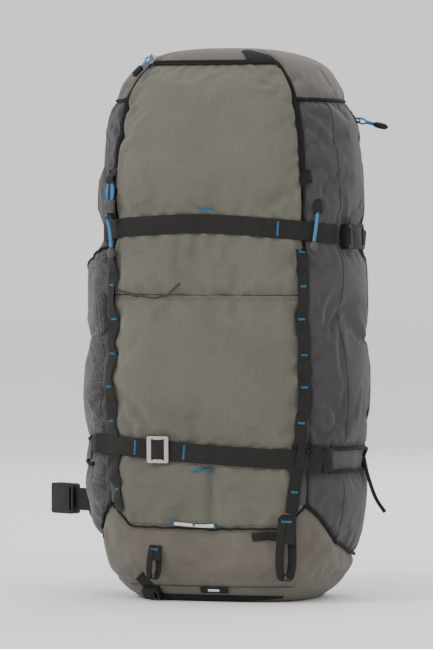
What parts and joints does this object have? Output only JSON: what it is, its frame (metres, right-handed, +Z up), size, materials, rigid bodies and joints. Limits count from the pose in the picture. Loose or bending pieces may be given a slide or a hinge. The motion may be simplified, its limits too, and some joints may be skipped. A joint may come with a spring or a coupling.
{
  "type": "ski backpack",
  "caption": "Ski touring backpack with a zipped front flap, compression straps, tool loops, padded back, shoulder harness and open hip belt.",
  "frame": {"origin": "centre of the flat base that the pack stands on", "axes": "+Z up along the pack's height, -Y to the front with the zips and straps, +Y to the wearer's back, +X to the right seen from the front"},
  "size_m": [0.4366, 0.3823, 0.583],
  "materials": {
    "olive_fabric": "matte",
    "cap_fabric": "matte",
    "boot_fabric": "matte",
    "side_fabric": "matte",
    "back_mesh": "matte",
    "padding": "matte",
    "webbing": "matte",
    "black_plastic": "satin",
    "blue_cord": "matte",
    "alloy": "satin",
    "reflective": "satin",
    "frame_plastic": "satin"
  },
  "bodies": {
    "bag": {"front_panel_lower": "olive_fabric", "front_panel_middle": "olive_fabric", "side_panel_left": "side_fabric", "side_panel_right": "side_fabric", "back_panel": "back_mesh", "top_cap": "cap_fabric", "base_panel": "boot_fabric", "frame_sheet": "frame_plastic", "stay_left": "alloy", "back_pad_left": "padding", "stay_right": "alloy", "back_pad_right": "padding", "lumbar_pad": "padding", "zip_chain": "webbing", "side_zip_chain": "webbing", "daisy_chain_left": "webbing", "daisy_chain_right": "webbing", "upper_strap": "webbing", "upper_buckle_socket": "black_plastic", "upper_strap_anchor": "webbing", "lower_strap": "webbing", "side_tab_left": "side_fabric", "side_tab_right": "side_fabric", "strap_tail": "webbing", "shaft_cord_left": "blue_cord", "shaft_end_left": "black_plastic", "shaft_cord_right": "blue_cord", "shaft_end_right": "black_plastic", "light_loop": "reflective", "half_moon_tab": "webbing", "base_loop": "webbing", "tail_buckle": "black_plastic", "load_lifter_left": "webbing", "lower_webbing_left": "webbing", "load_lifter_right": "webbing", "lower_webbing_right": "webbing"},
    "flap": {"flap_panel": "olive_fabric"},
    "zip_slider_left": {"zip_slider_left": "alloy"},
    "zip_pull_left": {"zip_pull_left": "blue_cord"},
    "zip_slider_right": {"zip_slider_right": "black_plastic"},
    "zip_pull_right": {"zip_pull_right": "blue_cord"},
    "upper_tongue": {"upper_buckle_tongue": "black_plastic"},
    "strap_slide": {"strap_slide": "alloy"},
    "cord_lock": {"cord_lock_body": "black_plastic"},
    "cord_lock_button": {"cord_lock_button": "black_plastic"},
    "tool_loop_left": {"tool_loop_left": "webbing"},
    "tool_loop_right": {"tool_loop_right": "webbing"},
    "haul_loop": {"haul_loop": "webbing"},
    "harness_left": {"shoulder_strap_left": "padding", "ladder_lock_left": "black_plastic"},
    "harness_right": {"shoulder_strap_right": "padding", "ladder_lock_right": "black_plastic"},
    "chest_left": {"chest_strap_left": "webbing"},
    "chest_tongue": {"chest_tongue": "black_plastic"},
    "chest_right": {"chest_strap_right": "webbing", "chest_socket": "black_plastic"},
    "hip_left": {"hip_wing_left": "padding"},
    "hip_right": {"hip_wing_right": "padding"},
    "hip_socket": {"hip_socket": "black_plastic"},
    "hip_tongue": {"hip_tongue": "black_plastic"}
  },
  "joints": [
    {"name": "flap_open", "type": "hinge", "parent": "bag", "child": "flap", "pos_m": [0, -0.097, 0.447], "axis": [1, 0, 0], "range_deg": [0, 100]},
    {"name": "front_zip_slide", "type": "slide", "parent": "bag", "child": "zip_slider_left", "axis": [0.941, -0.3343, 0.052], "range_m": [0, 0.028]},
    {"name": "front_zip_pull_swing", "type": "hinge", "parent": "zip_slider_left", "child": "zip_pull_left", "pos_m": [-0.06936, -0.05871, 0.57242], "axis": [-0.8794, 0.4761, 0], "range_deg": [0, 60]},
    {"name": "side_zip_slide", "type": "slide", "parent": "bag", "child": "zip_slider_right", "axis": [0.1292, 0.0072, -0.9916], "range_m": [0, 0.106]},
    {"name": "side_zip_pull_swing", "type": "hinge", "parent": "zip_slider_right", "child": "zip_pull_right", "pos_m": [0.131, 0.03726, 0.50659], "axis": [0.1709, -0.9853, 0], "range_deg": [-65, 5]},
    {"name": "upper_buckle_release", "type": "slide", "parent": "bag", "child": "upper_tongue", "axis": [-0.1831, -0.9831, 0], "range_m": [0, 0.017], "deforming": ["upper_strap"]},
    {"name": "strap_slide_adjust", "type": "slide", "parent": "bag", "child": "strap_slide", "axis": [0.9983, -0.0585, 0], "range_m": [-0.012, 0.012]},
    {"name": "cord_lock_slide", "type": "slide", "parent": "bag", "child": "cord_lock", "axis": [-0.0319, -0.0531, -0.9981], "range_m": [0, 0.025], "deforming": ["shaft_cord_left"]},
    {"name": "cord_lock_press", "type": "slide", "parent": "cord_lock", "child": "cord_lock_button", "axis": [0.0319, 0.0531, 0.9981], "range_m": [0, 0.0015], "stiffness_N_per_m": 300, "springref_m": -0.0005},
    {"name": "tool_loop_left_swing", "type": "hinge", "parent": "bag", "child": "tool_loop_left", "pos_m": [-0.0532, -0.09367, 0.05957], "axis": [-1, 0, 0], "range_deg": [0, 110]},
    {"name": "tool_loop_right_swing", "type": "hinge", "parent": "bag", "child": "tool_loop_right", "pos_m": [0.08922, -0.0893, 0.09378], "axis": [-1, 0, 0], "range_deg": [0, 110]},
    {"name": "haul_loop_swing", "type": "hinge", "parent": "bag", "child": "haul_loop", "pos_m": [0, 0.0945, 0.534], "axis": [1, 0, 0], "range_deg": [0, 110]},
    {"name": "harness_swing_left", "type": "hinge", "parent": "bag", "child": "harness_left", "pos_m": [0, 0.098, 0.478], "axis": [1, 0, 0], "range_deg": [0, 30], "deforming": ["load_lifter_left", "lower_webbing_left"]},
    {"name": "harness_swing_right", "type": "hinge", "parent": "bag", "child": "harness_right", "pos_m": [0, 0.098, 0.478], "axis": [1, 0, 0], "range_deg": [0, 30], "deforming": ["load_lifter_right", "lower_webbing_right"]},
    {"name": "chest_slide_left", "type": "slide", "parent": "harness_left", "child": "chest_left", "axis": [0, 0, 1], "range_m": [-0.03, 0.02]},
    {"name": "chest_slide_right", "type": "slide", "parent": "harness_right", "child": "chest_right", "axis": [0, 0, 1], "range_m": [-0.03, 0.02]},
    {"name": "chest_buckle_release", "type": "slide", "parent": "chest_left", "child": "chest_tongue", "axis": [-1, 0, 0], "range_m": [0, 0.0145]},
    {"name": "hip_wing_left_swing", "type": "hinge", "parent": "bag", "child": "hip_left", "pos_m": [-0.084, 0.101, 0.096], "axis": [0, 0, 1], "range_deg": [-45, 25]},
    {"name": "hip_wing_right_swing", "type": "hinge", "parent": "bag", "child": "hip_right", "pos_m": [0.084, 0.101, 0.096], "axis": [0, 0, 1], "range_deg": [-100, 0]},
    {"name": "hip_socket_adjust", "type": "slide", "parent": "hip_left", "child": "hip_socket", "axis": [-0.866, 0.5, 0], "range_m": [0, 0.02]},
    {"name": "hip_tongue_adjust", "type": "slide", "parent": "hip_right", "child": "hip_tongue", "axis": [-0.5736, 0.8192, 0], "range_m": [0, 0.02]}
  ],
  "couplings": [
    {"joint": "harness_swing_right", "follows": "harness_swing_left", "ratio": 1},
    {"joint": "chest_slide_right", "follows": "chest_slide_left", "ratio": 1}
  ]
}
